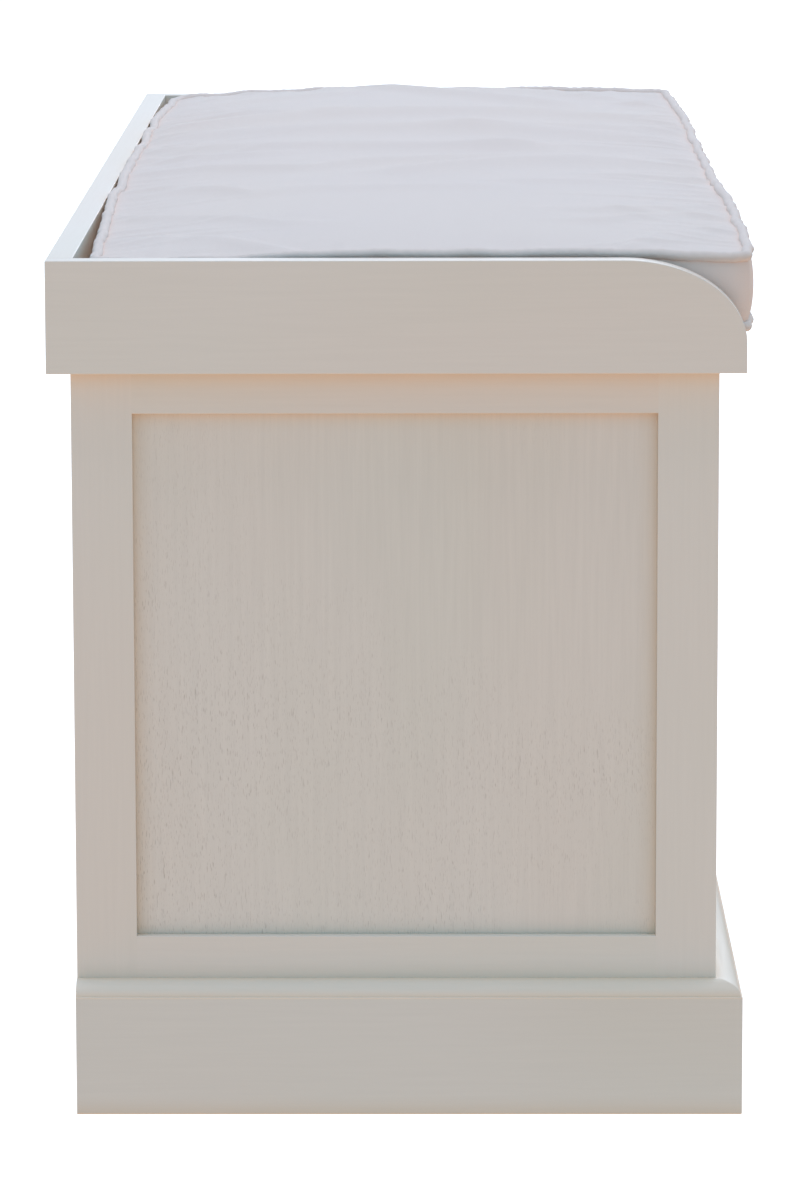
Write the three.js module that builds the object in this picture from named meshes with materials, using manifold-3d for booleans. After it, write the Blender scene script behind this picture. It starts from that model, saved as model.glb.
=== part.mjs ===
// Storage bench: a frame-and-panel chest on a moulded plinth, with three deep drawers, a seat board
// inside a raised rim that is open at the front, and a loose box cushion on the seat.
// Millimetres. X runs along the bench, the front faces -Y, Z is up, and the origin is on the floor
// at the middle of the bench.
import * as THREE from "three";
import { mergeVertices } from "three/addons/utils/BufferGeometryUtils.js";
import Module from "manifold-3d";

const wasm = await Module();
wasm.setup();

// ---- Driving dimensions ----
const LENGTH = 1100; // over the rim's end boards
const DEPTH = 400; // over the rim, from its back to its front ends
const RIM_TOP = 500; // from the floor to the rim's top edge

const END_OVERHANG = 15; // of the rim past the chest at each end
const FRONT_OVERHANG = 15;
const BACK_OVERHANG = 13;

const RIM_HEIGHT = 65;
const RIM_THICK = 15;
const RIM_CURVE_RUN = 70; // of the elliptical front corner, along the top
const RIM_CURVE_DROP = 48; // of the same corner, down the front
const SEAT_THICK = 20;
const SEAT_NOSE = 4; // radius of the seat board's front edge
const SEAT_SETBACK = 1; // of that edge behind the rim's front ends

const PLINTH_HEIGHT = 78;
const PLINTH_THICK = 15;
const MOULD_HEIGHT = 8; // of the rounded top
const MOULD_LEDGE = 1.5; // flat strip at its top, against the chest
const MOULD_STEP = 1; // small step under the rounding

const STILE_WIDTH = 35;
const END_FRAME_THICK = 18;
const RAIL_THICK = 20; // of the front and back rails
const TOP_RAIL_HEIGHT = 25;
const BOTTOM_RAIL_SHOWN = 25; // of the bottom rails, above the plinth
const BOTTOM_RAIL_HEIGHT = 50;
const PANEL_THICK = 6;
const TONGUE = 8; // how far end panels and tenons reach into their grooves
const TENON_THICK = 8; // of the front and back rails' tenons
const TENON_SHOULDER = 4; // above and below each tenon
const BACK_PANEL_THICK = 5;
const BACK_PANEL_INSET = 1.7; // behind the back edges of the end frames
const BACK_PANEL_REBATE = 6; // of the back panel into each end frame
const BACK_PANEL_LAP = 20; // over the back bottom rail
const DIVIDER_THICK = 18;
const FLOOR_THICK = 12;
const FLOOR_DROP = 6; // of the floor board's top below the drawer openings
const FLOOR_TONGUE = 5; // of the floor board into the front and back rails
const BLOCK_LEG = 40; // of the triangular corner blocks

const DRAWERS = ["left", "centre", "right"];
const REVEAL = 2; // gap round a closed drawer front
const DRAWER_FRONT_THICK = 16;
const DRAWER_BORDER = 35; // round the sunk panel of a drawer front
const DRAWER_SUNK = 4; // depth of that panel
const PULL_WIDTH = 84; // of the finger notch in a drawer front's top edge
const PULL_DEPTH = 21;
const DRAWER_WALL = 12; // thickness of a drawer's sides and back
const DRAWER_SIDE_HEIGHT = 250;
const DRAWER_BACK_HEIGHT = 220;
const DRAWER_LIFT = 10; // of the drawer sides above the bottom edge of the drawer front
const DRAWER_BOTTOM_THICK = 5;
const DRAWER_BOTTOM_LIFT = 10; // of the bottom above the lower edge of the sides
const HOUSING = 4; // depth of the joints between drawer boards
const RUNNER_SIZE = 12; // square section of the runners
const RUNNER_HEIGHT = 115; // of a runner's middle above the lower edge of the drawer sides
const RUNNER_GROOVE = 6; // depth of the groove it runs in
const RUNNER_SETBACK = 22; // of its front end behind the front of the chest
const RUNNER_PLAY_BELOW = 0.7; // under the runner, in its groove
const RUNNER_PLAY_DEEP = 0.5; // between the runner and the bottom of the groove
const STOP_WIDTH = 50;
const STOP_HEIGHT = 46;
const STOP_THICK = 17;
const STOP_PLAY = 0.5; // between a closed drawer and its stop
const STOP_BACK_PLAY = 2.8; // between a stop and the back panel

const CUSHION_THICK = 50;
const CUSHION_PLAY = 4; // between the cushion and the rim
const CUSHION_CORNER = 14; // radius of its upright corners
const CUSHION_EDGE = 6; // radius of its top and bottom edges

const SCREW_LENGTH = 38;
const SCREW_RADIUS = 2;
const SCREW_HEAD_RADIUS = 4;
const SCREW_HEAD_HEIGHT = 2.6;
const SCREW_TIP = 6;
const SCREW_FROM_MIDDLE = 330; // along the bench
const SCREW_SUNK = 0.4; // of a screw head below the face of its rail
const SCREW_SLOT = [4.4, 0.9, 1.2]; // length, width and depth of one arm of its cross

const GAP = 0.3; // between fixed pieces that touch
const CURVE_STEPS = 20; // along each elliptical corner
const SMALL_CURVE_STEPS = 6; // along the mouldings and small radii

// ---- Places worked out from those ----
const chestHalf = LENGTH / 2 - END_OVERHANG;
const chestFront = -DEPTH / 2 + FRONT_OVERHANG;
const chestBack = DEPTH / 2 - BACK_OVERHANG;
const chestTop = RIM_TOP - RIM_HEIGHT;
const insideHalf = chestHalf - END_FRAME_THICK;
const openingTop = chestTop - TOP_RAIL_HEIGHT;
const openingBottom = PLINTH_HEIGHT + BOTTOM_RAIL_SHOWN;
const bottomRailZ = [openingBottom - BOTTOM_RAIL_HEIGHT, openingBottom];
const insideX = [-insideHalf + GAP, insideHalf - GAP];
const openingWidth = (2 * insideHalf - 2 * DIVIDER_THICK) / DRAWERS.length;
const railFrontBack = chestFront + RAIL_THICK; // back face of the front rails
const backPanelFace = chestBack - BACK_PANEL_INSET;
const backRailBack = backPanelFace - BACK_PANEL_THICK - GAP;
const backRailFront = backRailBack - RAIL_THICK;
const floorTop = openingBottom - FLOOR_DROP;
const seatTop = chestTop + SEAT_THICK;
const drawerPitch = openingWidth + DIVIDER_THICK;
const drawerHalf = openingWidth / 2 - RUNNER_SIZE + RUNNER_GROOVE - RUNNER_PLAY_DEEP;
const drawerInner = drawerHalf - DRAWER_WALL;
const drawerBase = openingBottom + REVEAL + DRAWER_LIFT;
const drawerBottomTop = drawerBase + DRAWER_BOTTOM_LIFT + DRAWER_BOTTOM_THICK;
const drawerFrontBack = chestFront + DRAWER_FRONT_THICK;
const stopBack = backPanelFace - BACK_PANEL_THICK - STOP_BACK_PLAY;
const stopFront = stopBack - STOP_THICK;
const drawerBack = stopFront - STOP_PLAY; // of a closed drawer
const drawerY = [drawerFrontBack - HOUSING, drawerBack];
const runnerMiddle = drawerBase + RUNNER_HEIGHT;

// ---- Materials ----
const painted = new THREE.MeshStandardMaterial({ color: 0xe6e1da, roughness: 0.5, metalness: 0 });
const bare = new THREE.MeshStandardMaterial({ color: 0xd9c19a, roughness: 0.75, metalness: 0 });
const fabric = new THREE.MeshStandardMaterial({ color: 0xeeebe8, roughness: 0.95, metalness: 0 });
const steel = new THREE.MeshStandardMaterial({ color: 0xb9bcc0, roughness: 0.35, metalness: 1 });

// ---- Shared tools ----

// A straight board given by its lowest and highest places along each axis.
function board(name, material, x, y, z) {
  const size = [x, y, z].map(([low, high]) => high - low);
  const mesh = new THREE.Mesh(new THREE.BoxGeometry(...size), material);
  mesh.name = name;
  mesh.position.set(...[x, y, z].map(([low, high]) => (low + high) / 2));
  return mesh;
}

// The outline (y, z) pushed from x = from to x = to.
function alongX(name, material, outline, from, to) {
  const geometry = new THREE.ExtrudeGeometry(outline, { depth: to - from, bevelEnabled: false });
  const mesh = new THREE.Mesh(geometry.rotateX(Math.PI / 2).rotateZ(Math.PI / 2), material);
  mesh.name = name;
  mesh.position.x = from;
  return mesh;
}

// The outline (x, z) pushed from y = from to y = to.
function alongY(name, material, outline, from, to) {
  const geometry = new THREE.ExtrudeGeometry(outline, { depth: to - from, bevelEnabled: false });
  const mesh = new THREE.Mesh(geometry.rotateX(Math.PI / 2), material);
  mesh.name = name;
  mesh.position.y = to;
  return mesh;
}

// The outline (x, y) pushed from z = from to z = to.
function alongZ(name, material, outline, from, to) {
  const geometry = new THREE.ExtrudeGeometry(outline, { depth: to - from, bevelEnabled: false });
  const mesh = new THREE.Mesh(geometry, material);
  mesh.name = name;
  mesh.position.z = from;
  return mesh;
}

// Points along an ellipse, from one angle to another.
function ellipsePoints(centreX, centreY, radiusX, radiusY, fromAngle, toAngle, steps) {
  return Array.from({ length: steps + 1 }, (_, i) => {
    const angle = fromAngle + ((toAngle - fromAngle) * i) / steps;
    return new THREE.Vector2(
      centreX + radiusX * Math.cos(angle),
      centreY + radiusY * Math.sin(angle),
    );
  });
}

// A mesh's closed solid in the bench's own frame.
function solidOf(mesh) {
  mesh.updateWorldMatrix(true, false);
  const surface = new THREE.BufferGeometry();
  const source = mesh.geometry.index ? mesh.geometry.toNonIndexed() : mesh.geometry;
  surface.setAttribute("position", source.getAttribute("position").clone());
  const merged = mergeVertices(surface.applyMatrix4(mesh.matrixWorld), 1e-4);
  return new wasm.Manifold(
    new wasm.Mesh({
      numProp: 3,
      vertProperties: merged.getAttribute("position").array,
      triVerts: new Uint32Array(merged.index.array),
    }),
  );
}

// Gives a mesh the shape of a solid that stands in the bench's own frame.
function reshape(mesh, solid) {
  const made = solid.getMesh();
  const geometry = new THREE.BufferGeometry();
  geometry.setAttribute("position", new THREE.BufferAttribute(made.vertProperties, 3));
  geometry.setIndex(new THREE.BufferAttribute(made.triVerts, 1));
  mesh.geometry = geometry.applyMatrix4(mesh.matrixWorld.clone().invert());
  mesh.geometry.computeVertexNormals();
}

function carve(meshes, ...cutters) {
  for (const mesh of [meshes].flat()) {
    reshape(
      mesh,
      cutters.flat().reduce((solid, cutter) => solid.subtract(solidOf(cutter)), solidOf(mesh)),
    );
  }
}

function join(mesh, ...others) {
  reshape(
    mesh,
    others.flat().reduce((solid, other) => solid.add(solidOf(other)), solidOf(mesh)),
  );
}

// The room that a straight board needs: its own box with a gap all round, and longer by what grow
// gives for the low and high side of an axis.
function roomFor(piece, grow = {}) {
  const { width, height, depth } = piece.geometry.parameters;
  const sides = [width, height, depth].map((side, i) => {
    const middle = piece.position.getComponent(i);
    const [low, high] = grow["xyz"[i]] ?? [0, 0];
    return [middle - side / 2 - GAP - low, middle + side / 2 + GAP + high];
  });
  return board("room", bare, ...sides);
}

// Two tenons on the ends of a straight rail, along X (0) or Y (1), as thick as given.
function tenonsOn(rail, axis, thick) {
  const { width, height, depth } = rail.geometry.parameters;
  const half = [width / 2, height / 2, depth / 2];
  const middle = rail.position.toArray();
  return [-1, 1].map((side) => {
    const sides = [thick / 2, thick / 2, half[2] - TENON_SHOULDER].map((reach, i) => [
      middle[i] - reach,
      middle[i] + reach,
    ]);
    const end = middle[axis] + side * half[axis];
    sides[axis] = [end, end + side * (TONGUE + GAP)].sort((a, b) => a - b);
    return board("tenon", painted, ...sides);
  });
}

// Gives a rail its tenons, and cuts their mortises in the uprights at its ends.
function tenon(rail, axis, thick, uprights) {
  const tenons = tenonsOn(rail, axis, thick);
  carve(uprights, tenons.map((one) => roomFor(one)));
  join(rail, tenons);
}

// ---- End frames: two stiles, two rails and a panel in their grooves ----
function endFrame(side, middle) {
  const frontStile = endStile(`${side}_end_front_stile`, middle, chestFront);
  const backStile = endStile(`${side}_end_back_stile`, middle, chestBack - STILE_WIDTH);
  const topRail = endRail(`${side}_end_top_rail`, middle, [openingTop, chestTop - GAP]);
  const bottomRail = endRail(`${side}_end_bottom_rail`, middle, bottomRailZ);
  const panel = endPanel(`${side}_end_panel`, middle);
  const groove = roomFor(panel);
  tenon(topRail, 1, PANEL_THICK, [frontStile, backStile]);
  tenon(bottomRail, 1, PANEL_THICK, [frontStile, backStile]);
  carve([frontStile, backStile, topRail, bottomRail], groove);
  return { frontStile, backStile, topRail, bottomRail, panel };
}

function around(middle, thick) {
  return [middle - thick / 2, middle + thick / 2];
}

function endStile(name, middle, y) {
  const x = around(middle, END_FRAME_THICK);
  return board(name, painted, x, [y, y + STILE_WIDTH], [0, chestTop - GAP]);
}

function endRail(name, middle, z) {
  const x = around(middle, END_FRAME_THICK);
  const y = [chestFront + STILE_WIDTH + GAP, chestBack - STILE_WIDTH - GAP];
  return board(name, painted, x, y, z);
}

function endPanel(name, middle) {
  const x = around(middle, PANEL_THICK);
  const y = [chestFront + STILE_WIDTH - TONGUE, chestBack - STILE_WIDTH + TONGUE];
  return board(name, painted, x, y, [openingBottom - TONGUE, openingTop + TONGUE]);
}

// ---- Front and back rails, floor and back panel ----
function frontRails() {
  const y = [chestFront, railFrontBack];
  const rails = [
    board("front_top_rail", painted, insideX, y, [openingTop, chestTop - GAP]),
    board("front_bottom_rail", painted, insideX, y, bottomRailZ),
  ];
  rails.forEach((rail) => tenon(rail, 0, TENON_THICK, [leftEnd.frontStile, rightEnd.frontStile]));
  return rails;
}

function backRails() {
  const y = [backRailFront, backRailBack];
  const rails = [
    board("back_top_rail", painted, insideX, y, [openingTop, chestTop - GAP]),
    board("back_bottom_rail", painted, insideX, y, [0, openingBottom]),
  ];
  rails.forEach((rail) => tenon(rail, 0, TENON_THICK, [leftEnd.backStile, rightEnd.backStile]));
  return rails;
}

// The floor under the drawers, in grooves in the front and back bottom rails.
function floorBoard(rails) {
  const y = [railFrontBack - FLOOR_TONGUE, backRailFront + FLOOR_TONGUE];
  const floor = board("floor_board", bare, insideX, y, [floorTop - FLOOR_THICK, floorTop]);
  carve(rails, roomFor(floor, { x: [TONGUE, TONGUE] }));
  return floor;
}

// The back panel, in a rebate in each back stile.
function backPanel() {
  const panel = board(
    "back_panel",
    painted,
    [-insideHalf - BACK_PANEL_REBATE, insideHalf + BACK_PANEL_REBATE],
    [backPanelFace - BACK_PANEL_THICK, backPanelFace],
    [openingBottom - BACK_PANEL_LAP, chestTop - GAP],
  );
  const openSides = { y: [0, BACK_PANEL_INSET], z: [0, GAP] };
  carve([leftEnd.backStile, rightEnd.backStile], roomFor(panel, openSides));
  return panel;
}

// Upright boards between the drawers, notched round the front rails.
function dividers() {
  const back = backRailFront - GAP;
  const behindRail = railFrontBack + GAP;
  const outline = new THREE.Shape([
    new THREE.Vector2(chestFront, openingBottom + GAP),
    new THREE.Vector2(behindRail, openingBottom + GAP),
    new THREE.Vector2(behindRail, floorTop + GAP),
    new THREE.Vector2(back, floorTop + GAP),
    new THREE.Vector2(back, chestTop - GAP),
    new THREE.Vector2(behindRail, chestTop - GAP),
    new THREE.Vector2(behindRail, openingTop - GAP),
    new THREE.Vector2(chestFront, openingTop - GAP),
  ]);
  return [-1, 1].map((side) => {
    const middle = (side * drawerPitch) / 2;
    return alongX(
      side < 0 ? "left_divider" : "right_divider",
      painted,
      outline,
      middle - DIVIDER_THICK / 2,
      middle + DIVIDER_THICK / 2,
    );
  });
}

// Triangular glue blocks in the four bottom corners, which also carry the floor board.
function cornerBlocks() {
  return [
    ["front_left_corner_block", -1, 1, railFrontBack + GAP],
    ["front_right_corner_block", 1, 1, railFrontBack + GAP],
    ["back_left_corner_block", -1, -1, backRailFront - GAP],
    ["back_right_corner_block", 1, -1, backRailFront - GAP],
  ].map(([name, endSide, inwards, y]) => {
    const x = endSide * (insideHalf - GAP);
    const outline = new THREE.Shape([
      new THREE.Vector2(x, y),
      new THREE.Vector2(x - endSide * BLOCK_LEG, y),
      new THREE.Vector2(x, y + inwards * BLOCK_LEG),
    ]);
    return alongZ(name, bare, outline, bottomRailZ[0], floorTop - FLOOR_THICK - GAP);
  });
}

// ---- Seat board and rim ----
function seatBoard() {
  const front = -DEPTH / 2 + SEAT_SETBACK;
  const back = DEPTH / 2 - RIM_THICK - GAP;
  const outline = new THREE.Shape([
    new THREE.Vector2(back, chestTop),
    new THREE.Vector2(back, seatTop),
    ...ellipsePoints(
      front + SEAT_NOSE, seatTop - SEAT_NOSE, SEAT_NOSE, SEAT_NOSE, Math.PI / 2, Math.PI,
      SMALL_CURVE_STEPS,
    ),
    ...ellipsePoints(
      front + SEAT_NOSE, chestTop + SEAT_NOSE, SEAT_NOSE, SEAT_NOSE, Math.PI, 1.5 * Math.PI,
      SMALL_CURVE_STEPS,
    ),
  ]);
  const reach = LENGTH / 2 - RIM_THICK - GAP;
  return alongX("seat_board", painted, outline, -reach, reach);
}

// The rim's end boards, with an elliptical top corner at the front.
function rimEnds() {
  const front = -DEPTH / 2;
  const back = DEPTH / 2;
  const outline = new THREE.Shape([
    new THREE.Vector2(front, chestTop),
    new THREE.Vector2(back, chestTop),
    new THREE.Vector2(back, RIM_TOP),
    ...ellipsePoints(
      front + RIM_CURVE_RUN, RIM_TOP - RIM_CURVE_DROP, RIM_CURVE_RUN, RIM_CURVE_DROP,
      Math.PI / 2, Math.PI, CURVE_STEPS,
    ),
  ]);
  const end = LENGTH / 2;
  return [
    alongX("left_rim_board", painted, outline, -end, -end + RIM_THICK),
    alongX("right_rim_board", painted, outline, end - RIM_THICK, end),
  ];
}

function rimBack() {
  const half = LENGTH / 2 - RIM_THICK - GAP;
  const y = [DEPTH / 2 - RIM_THICK, DEPTH / 2];
  return board("back_rim_board", painted, [-half, half], y, [chestTop, RIM_TOP]);
}

// ---- Plinth: a moulded board along the front and each end, mitred at the front corners ----
// The section of the plinth: distance out from the chest, and height.
function plinthSection() {
  const line = PLINTH_HEIGHT - MOULD_HEIGHT;
  const reach = PLINTH_THICK - MOULD_STEP - MOULD_LEDGE;
  return [
    new THREE.Vector2(GAP, 0),
    new THREE.Vector2(PLINTH_THICK, 0),
    new THREE.Vector2(PLINTH_THICK, line),
    ...ellipsePoints(MOULD_LEDGE, line, reach, MOULD_HEIGHT, 0, Math.PI / 2, SMALL_CURVE_STEPS),
    new THREE.Vector2(GAP, PLINTH_HEIGHT),
  ];
}

function plinthFront() {
  const outline = plinthSection().map(({ x, y }) => new THREE.Vector2(chestFront - x, y));
  const end = chestHalf + PLINTH_THICK;
  const front = alongX("front_plinth_board", painted, new THREE.Shape(outline), -end, end);
  carve(front, mitreCutter(-1, 1), mitreCutter(1, 1));
  return front;
}

function plinthEnd(name, side) {
  const outline = plinthSection().map(({ x, y }) => new THREE.Vector2(side * (chestHalf + x), y));
  const shape = new THREE.Shape(outline);
  const end = alongY(name, painted, shape, chestFront - PLINTH_THICK, chestBack);
  carve(end, mitreCutter(side, -1));
  return end;
}

// Everything beyond the mitre at the front corner on the given side: keep is 1 to cut the front
// board and -1 to cut the end board.
function mitreCutter(side, keep) {
  const reach = 4 * PLINTH_THICK;
  const box = new THREE.BoxGeometry(reach, 2 * reach, 3 * PLINTH_HEIGHT);
  const cutter = new THREE.Mesh(box.translate((keep * (reach - GAP)) / 2, 0, 0), painted);
  cutter.position.set(side * chestHalf, chestFront, PLINTH_HEIGHT / 2);
  cutter.rotation.z = side > 0 ? Math.PI / 4 : (3 * Math.PI) / 4;
  return cutter;
}

// ---- Drawers and what they run on ----
// The two runners of a drawer, fixed to the walls of its opening.
function runners(drawerName, centre) {
  const y = [chestFront + RUNNER_SETBACK, backRailBack - GAP];
  return [["left", -1], ["right", 1]].map(([sideName, side]) => {
    const wall = centre + side * (openingWidth / 2 - GAP);
    const x = [wall, wall - side * (RUNNER_SIZE - GAP)].sort((a, b) => a - b);
    const name = `${drawerName}_drawer_${sideName}_runner`;
    return board(name, bare, x, y, around(runnerMiddle, RUNNER_SIZE));
  });
}

// The block that a drawer closes against, standing on the back bottom rail.
function drawerStop(drawerName, centre) {
  const z = [openingBottom + GAP, openingBottom + GAP + STOP_HEIGHT];
  return board(
    `${drawerName}_drawer_stop`, bare, around(centre, STOP_WIDTH), [stopFront, stopBack], z,
  );
}

// A drawer front: a board with a sunk panel and a finger notch in its top edge.
function drawerFront(name, centre) {
  const half = openingWidth / 2 - REVEAL;
  const low = openingBottom + REVEAL;
  const high = openingTop - REVEAL;
  const outline = new THREE.Shape([
    new THREE.Vector2(-half, low),
    new THREE.Vector2(half, low),
    new THREE.Vector2(half, high),
    ...ellipsePoints(0, high, PULL_WIDTH / 2, PULL_DEPTH, 0, -Math.PI, CURVE_STEPS),
    new THREE.Vector2(-half, high),
  ]);
  const front = alongY(`${name}_drawer_front`, painted, outline, chestFront, drawerFrontBack);
  front.position.x = centre;
  const sunkX = around(centre, 2 * (half - DRAWER_BORDER));
  const sunkZ = [low + DRAWER_BORDER, high - DRAWER_BORDER];
  carve(front, board("sunk_panel", painted, sunkX, around(chestFront, 2 * DRAWER_SUNK), sunkZ));
  return front;
}

function drawerSide(name, centre, side) {
  const x = [side * drawerHalf, side * drawerInner].sort((a, b) => a - b);
  const z = [drawerBase, drawerBase + DRAWER_SIDE_HEIGHT];
  return board(name, bare, x.map((at) => centre + at), drawerY, z);
}

function drawerBottom(name, centre) {
  return board(name, bare, around(centre, 2 * (drawerInner + HOUSING)), drawerY, [
    drawerBottomTop - DRAWER_BOTTOM_THICK,
    drawerBottomTop,
  ]);
}

function drawerBackBoard(name, centre) {
  const x = around(centre, 2 * (drawerInner + HOUSING));
  const z = [drawerBottomTop + GAP, drawerBottomTop + GAP + DRAWER_BACK_HEIGHT];
  return board(name, bare, x, [drawerBack - DRAWER_WALL, drawerBack], z);
}

// The groove that a drawer side runs on, open at both ends.
function runnerGroove(centre, side) {
  const x = around(centre + side * drawerHalf, 2 * RUNNER_GROOVE);
  const y = [drawerFrontBack - 2 * HOUSING, drawerBack + HOUSING];
  const [low, high] = around(runnerMiddle, RUNNER_SIZE);
  return board("runner_groove", bare, x, y, [low - RUNNER_PLAY_BELOW, high + GAP]);
}

function drawer(name, centre) {
  const front = drawerFront(name, centre);
  const left = drawerSide(`${name}_drawer_left_side`, centre, -1);
  const right = drawerSide(`${name}_drawer_right_side`, centre, 1);
  const bottom = drawerBottom(`${name}_drawer_bottom`, centre);
  const back = drawerBackBoard(`${name}_drawer_back`, centre);
  const openBehind = { y: [0, DRAWER_WALL] };
  const housings = [roomFor(bottom, openBehind), roomFor(back, openBehind)];
  carve(front, roomFor(left), roomFor(right), roomFor(bottom));
  carve(left, housings, runnerGroove(centre, -1));
  carve(right, housings, runnerGroove(centre, 1));
  const group = new THREE.Group();
  group.add(front, left, right, bottom, back);
  return group;
}

// ---- Loose box cushion ----
function cushion() {
  const half = LENGTH / 2 - RIM_THICK - CUSHION_PLAY - CUSHION_EDGE;
  const front = -DEPTH / 2 + CUSHION_EDGE;
  const back = DEPTH / 2 - RIM_THICK - CUSHION_PLAY - CUSHION_EDGE;
  const corner = CUSHION_CORNER - CUSHION_EDGE;
  const quarter = Math.PI / 2;
  const outline = new THREE.Shape(
    [
      [half - corner, back - corner, 0],
      [-half + corner, back - corner, 1],
      [-half + corner, front + corner, 2],
      [half - corner, front + corner, 3],
    ].flatMap(([x, y, turn]) =>
      ellipsePoints(x, y, corner, corner, turn * quarter, (turn + 1) * quarter, SMALL_CURVE_STEPS),
    ),
  );
  const geometry = new THREE.ExtrudeGeometry(outline, {
    depth: CUSHION_THICK - GAP - 2 * CUSHION_EDGE,
    bevelThickness: CUSHION_EDGE,
    bevelSize: CUSHION_EDGE,
    bevelSegments: 3,
  });
  const mesh = new THREE.Mesh(geometry, fabric);
  mesh.name = "seat_cushion";
  mesh.position.z = seatTop + GAP + CUSHION_EDGE;
  return mesh;
}

// ---- Screws that hold the seat board down, driven up through the top rails ----
function screwOutline(clear) {
  const tip = SCREW_LENGTH + clear;
  return [
    [0, -clear],
    [SCREW_HEAD_RADIUS + clear, -clear],
    [SCREW_HEAD_RADIUS + clear, SCREW_SUNK],
    [SCREW_RADIUS + clear, SCREW_HEAD_HEIGHT],
    [SCREW_RADIUS + clear, tip - SCREW_TIP],
    [0, tip],
  ].map(([radius, height]) => new THREE.Vector2(radius, height));
}

function screws(frontRail, backRail, seat) {
  return [
    ["front_left_seat_screw", frontRail, -1],
    ["front_right_seat_screw", frontRail, 1],
    ["back_left_seat_screw", backRail, -1],
    ["back_right_seat_screw", backRail, 1],
  ].map(([name, rail, side]) => {
    const x = side * SCREW_FROM_MIDDLE;
    const y = rail.position.y;
    const screw = screwAt(x, y, 0);
    screw.name = name;
    carve(screw, screwCross(x, y));
    carve([rail, seat], screwAt(x, y, GAP));
    return screw;
  });
}

// A screw standing on its head in the underside of a top rail, larger all round by clear.
function screwAt(x, y, clear) {
  const mesh = new THREE.Mesh(new THREE.LatheGeometry(screwOutline(clear), 16), steel);
  mesh.rotation.x = Math.PI / 2;
  mesh.position.set(x, y, openingTop + SCREW_SUNK);
  return mesh;
}

// The two arms of the cross in a screw head.
function screwCross(x, y) {
  const [arm, width, deep] = SCREW_SLOT.map((size, i) => (i < 2 ? size / 2 : size));
  const head = openingTop + SCREW_SUNK;
  const z = [head - deep, head + deep];
  return [
    board("arm", steel, [x - arm, x + arm], [y - width, y + width], z),
    board("arm", steel, [x - width, x + width], [y - arm, y + arm], z),
  ];
}

// ---- The bench ----
const bench = new THREE.Group();
const endMiddle = chestHalf - END_FRAME_THICK / 2;
const leftEnd = endFrame("left", -endMiddle);
const rightEnd = endFrame("right", endMiddle);
const [frontTopRail, frontBottomRail] = frontRails();
const [backTopRail, backBottomRail] = backRails();
const seat = seatBoard();
bench.add(
  ...Object.values(leftEnd),
  ...Object.values(rightEnd),
  frontTopRail,
  frontBottomRail,
  backTopRail,
  backBottomRail,
  floorBoard([frontBottomRail, backBottomRail]),
  backPanel(),
  ...dividers(),
  ...cornerBlocks(),
  plinthFront(),
  plinthEnd("left_plinth_board", -1),
  plinthEnd("right_plinth_board", 1),
  seat,
  ...rimEnds(),
  rimBack(),
  ...screws(frontTopRail, backTopRail, seat),
  cushion(),
);
DRAWERS.forEach((name, i) => {
  const centre = (i - (DRAWERS.length - 1) / 2) * drawerPitch;
  bench.add(...runners(name, centre), drawerStop(name, centre), drawer(name, centre));
});

export default bench;
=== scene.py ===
"""Looks of a painted storage bench with three drawers and a loose piped cushion, built round its
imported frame. Metres; X runs along the bench, the front faces -Y and Z is up."""

import math

import bmesh
import bpy
import numpy as np
from bpy.props import FloatProperty, FloatVectorProperty, PointerProperty
from mathutils import Matrix, Vector


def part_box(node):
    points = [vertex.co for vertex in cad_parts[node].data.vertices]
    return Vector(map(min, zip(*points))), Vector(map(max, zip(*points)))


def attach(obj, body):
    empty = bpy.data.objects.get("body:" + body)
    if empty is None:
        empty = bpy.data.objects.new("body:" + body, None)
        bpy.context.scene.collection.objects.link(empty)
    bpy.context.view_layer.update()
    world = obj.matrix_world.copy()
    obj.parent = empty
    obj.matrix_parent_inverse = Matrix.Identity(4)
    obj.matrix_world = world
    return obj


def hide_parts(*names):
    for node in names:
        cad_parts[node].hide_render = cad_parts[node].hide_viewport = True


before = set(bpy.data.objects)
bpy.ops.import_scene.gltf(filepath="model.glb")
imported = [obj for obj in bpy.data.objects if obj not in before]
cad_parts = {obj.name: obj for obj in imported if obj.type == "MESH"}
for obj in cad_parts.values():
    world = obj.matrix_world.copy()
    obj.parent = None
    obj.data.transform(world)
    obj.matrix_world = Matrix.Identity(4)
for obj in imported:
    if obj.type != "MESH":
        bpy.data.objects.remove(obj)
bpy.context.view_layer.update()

bl_info = {
    "name": "Storage Bench",
    "version": (1, 0, 0),
    "blender": (4, 5, 0),
    "location": "View3D > Sidebar > Bench",
    "description": "Finishes a painted storage bench and its loose cushion",
    "category": "Object",
}

SIDES = ("left", "right")
DRAWERS = ("left", "centre", "right")
BARE_NODES = [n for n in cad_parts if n.endswith(("runner", "stop", "block", "floor_board"))]


# ---- Settings ----
class PaintSettings(bpy.types.PropertyGroup):
    colour: FloatVectorProperty(
        name="Colour", description="Colour of the paint", subtype="COLOR", size=3,
        default=(0.875, 0.86, 0.815), min=0, max=1,
    )
    grain: FloatProperty(
        name="Grain", description="How strongly the grain shows through", default=1.0,
        min=0, max=3,
    )
    eased: FloatProperty(
        name="Eased edges", description="Radius of the sanded edges", default=0.0005,
        min=0.0001, max=0.004, unit="LENGTH",
    )
    joint: FloatProperty(
        name="Joint gap", description="Gap left at the painted joints", default=0.00001,
        min=0, max=0.0003, unit="LENGTH",
    )


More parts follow.
